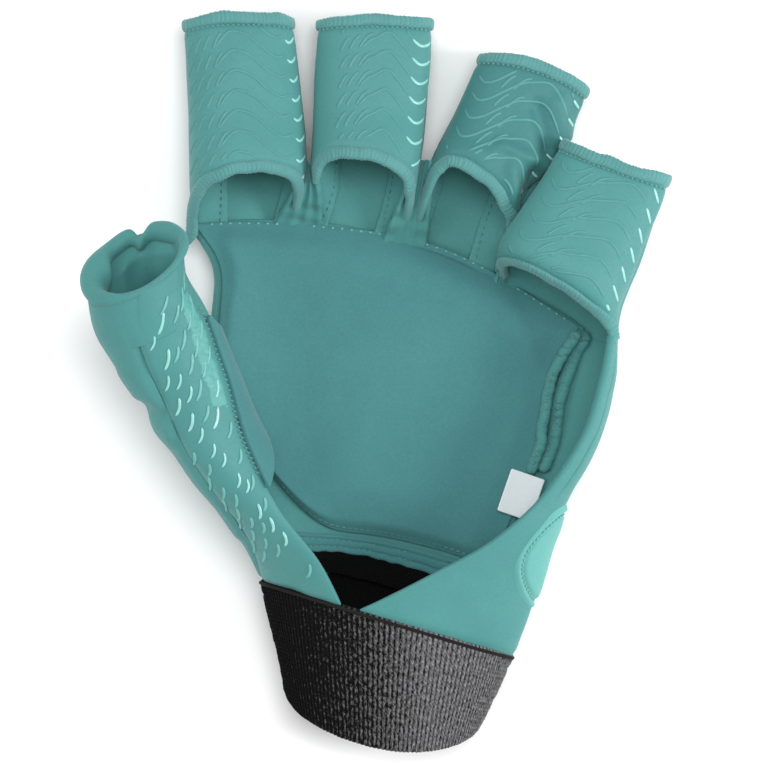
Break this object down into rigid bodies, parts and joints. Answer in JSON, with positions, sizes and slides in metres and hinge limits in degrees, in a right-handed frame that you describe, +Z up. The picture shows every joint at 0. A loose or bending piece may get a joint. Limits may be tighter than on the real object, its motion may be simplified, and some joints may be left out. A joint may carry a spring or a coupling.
{
  "type": "field hockey glove",
  "caption": "Left-hand field hockey glove lying palm up, with an open palm, open-ended finger and thumb tubes, a padded back and a wide knitted wrist cuff.",
  "frame": {"origin": "middle of the glove's footprint, at the floor it rests on", "axes": "+X from the thumb side to the little-finger side, +Y from the wrist to the fingertips, +Z up, from the back of the hand through the open palm"},
  "size_m": [0.1646, 0.207, 0.052],
  "materials": {
    "fabric": "smooth teal stretch fabric over thin foam",
    "lining": "matt teal brushed lining",
    "grip": "teal stretch fabric with glossy raised wavy grip lines",
    "hem": "teal overlock stitching",
    "elastic": "matt black and grey ribbed knitted elastic",
    "label": "bare white woven tape"
  },
  "bodies": {
    "root": {"back_shell": "fabric", "back_lining": "lining", "wrist_facing": "lining", "label": "label", "side_panel": "fabric", "side_pad": "fabric", "thumb_grip": "grip", "thumb_sleeve": "fabric", "thumb_gusset": "fabric", "thumb_hem": "fabric", "index_back": "fabric", "index_grip": "grip", "index_tip_hem": "hem", "index_mouth_hem": "hem", "middle_back": "fabric", "middle_grip": "grip", "middle_tip_hem": "hem", "middle_mouth_hem": "hem", "ring_back": "fabric", "ring_grip": "grip", "ring_tip_hem": "hem", "ring_mouth_hem": "hem", "little_back": "fabric", "little_grip": "grip", "little_tip_hem": "hem", "little_mouth_hem": "hem", "cuff": "elastic", "cuff_lap": "elastic"}
  },
  "joints": []
}
